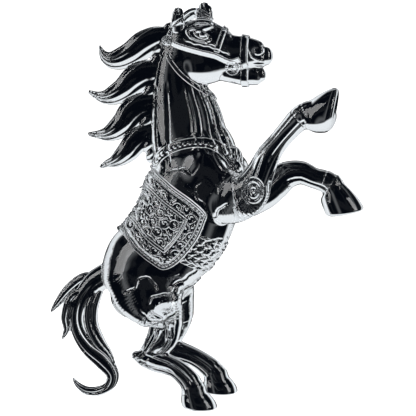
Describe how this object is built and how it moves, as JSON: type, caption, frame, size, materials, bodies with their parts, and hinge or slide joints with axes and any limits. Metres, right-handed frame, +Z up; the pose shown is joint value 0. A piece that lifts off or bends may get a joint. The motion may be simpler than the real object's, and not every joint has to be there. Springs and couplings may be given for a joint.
{
  "type": "crystal glass horse figurine",
  "caption": "Clear crystal figurine of a rearing horse in show harness, standing on its hind hooves and tail, made to be displayed on a flat surface",
  "frame": {"origin": "on the surface the figurine stands on, under the middle of its bounding box", "axes": "+Z up, +X the way the horse faces, +Y the horse's left"},
  "size_m": [0.1588, 0.0548, 0.201],
  "materials": {
    "body_crystal": "clear polished lead crystal, fire polished, slightly cool",
    "hoof_crystal": "clear polished crystal with flat ground soles",
    "hair_crystal": "clear crystal drawn into grooved locks, fire polished",
    "harness_crystal": "clear pressed crystal straps, softly polished",
    "engraved_crystal": "clear crystal pressed and engraved all over with small scrolls, satin in the recesses"
  },
  "bodies": {
    "root": {"torso": "body_crystal", "hindquarters": "body_crystal", "neck": "body_crystal", "head": "body_crystal", "lower_jaw": "body_crystal", "ear_right": "body_crystal", "ear_left": "body_crystal", "forelock": "hair_crystal", "crest_braid": "hair_crystal", "bridle_crown": "harness_crystal", "bridle_noseband": "harness_crystal", "bridle_browband": "harness_crystal", "bridle_cheek_right": "harness_crystal", "bridle_rosette_right": "harness_crystal", "bit_ring_right": "harness_crystal", "bridle_cheek_left": "harness_crystal", "bridle_rosette_left": "harness_crystal", "bit_ring_left": "harness_crystal", "throatlatch": "harness_crystal", "mane_lock_1": "hair_crystal", "mane_lock_2": "hair_crystal", "mane_lock_3": "hair_crystal", "mane_lock_4": "hair_crystal", "breast_collar": "harness_crystal", "breast_ornament": "engraved_crystal", "saddle_cloth": "engraved_crystal", "saddle_cloth_border": "engraved_crystal", "girth": "engraved_crystal", "front_right_forearm": "body_crystal", "front_right_cannon": "body_crystal", "front_right_hoof": "hoof_crystal", "front_left_forearm": "body_crystal", "front_left_cannon": "body_crystal", "front_left_hoof": "hoof_crystal", "hind_right_gaskin": "body_crystal", "hind_right_cannon": "body_crystal", "hind_right_hoof": "hoof_crystal", "hind_left_gaskin": "body_crystal", "hind_left_cannon": "body_crystal", "hind_left_hoof": "hoof_crystal", "tail_dock": "hair_crystal", "tail_stem": "hair_crystal", "tail_curl": "hair_crystal", "tail_strand_outer": "hair_crystal", "tail_strand_middle": "hair_crystal", "tail_strand_inner": "hair_crystal"}
  },
  "joints": []
}
